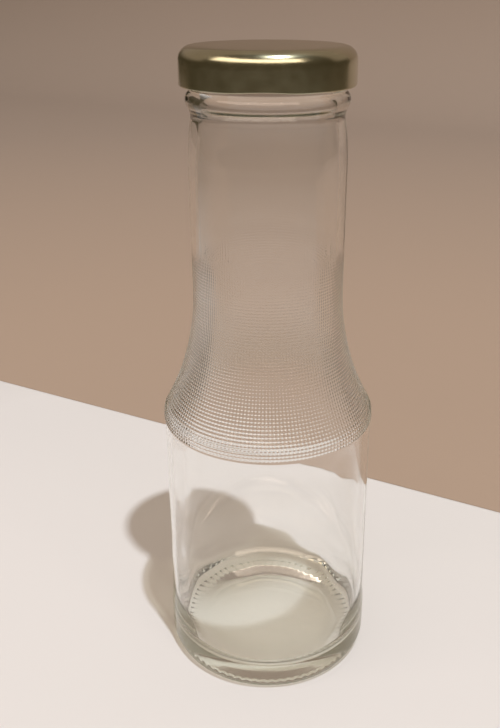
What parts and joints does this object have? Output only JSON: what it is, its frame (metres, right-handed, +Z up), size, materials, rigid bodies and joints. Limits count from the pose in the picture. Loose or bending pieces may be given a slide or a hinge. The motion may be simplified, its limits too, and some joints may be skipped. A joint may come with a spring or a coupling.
{
  "type": "glass drink bottle with twist-off cap",
  "caption": "Clear wide-mouth glass drink bottle with a flared beaded shoulder, straight label body and a gold lacquered metal twist-off lug cap with its sealing ring.",
  "frame": {"origin": "centre of the base, on the surface the bottle stands on", "axes": "+Z up the bottle's axis towards the cap, -Y towards the viewer of the picture, +X to the viewer's right"},
  "size_m": [0.061, 0.061, 0.18],
  "materials": {
    "clear_glass": "clear moulded flint glass with a faint yellow-green tint where it is thick",
    "gold_lacquer": "satin-gloss gold lacquer on tinplate",
    "sealing_compound": "matt off-white soft compound"
  },
  "bodies": {
    "bottle": {"glass_bottle": "clear_glass"},
    "seal": {"cap_liner": "sealing_compound"},
    "cap": {"cap_shell": "gold_lacquer"}
  },
  "joints": [
    {"name": "cap_rise", "type": "slide", "parent": "bottle", "child": "seal", "axis": [0, 0, 1], "range_m": [0, 0.0241]},
    {"name": "cap_twist", "type": "hinge", "parent": "seal", "child": "cap", "pos_m": [0, 0, 0.18], "axis": [0, 0, 1], "range_deg": [0, 540]}
  ],
  "couplings": [
    {"joint": "cap_rise", "follows": "cap_twist", "m_per_rad": 0.0025465}
  ]
}
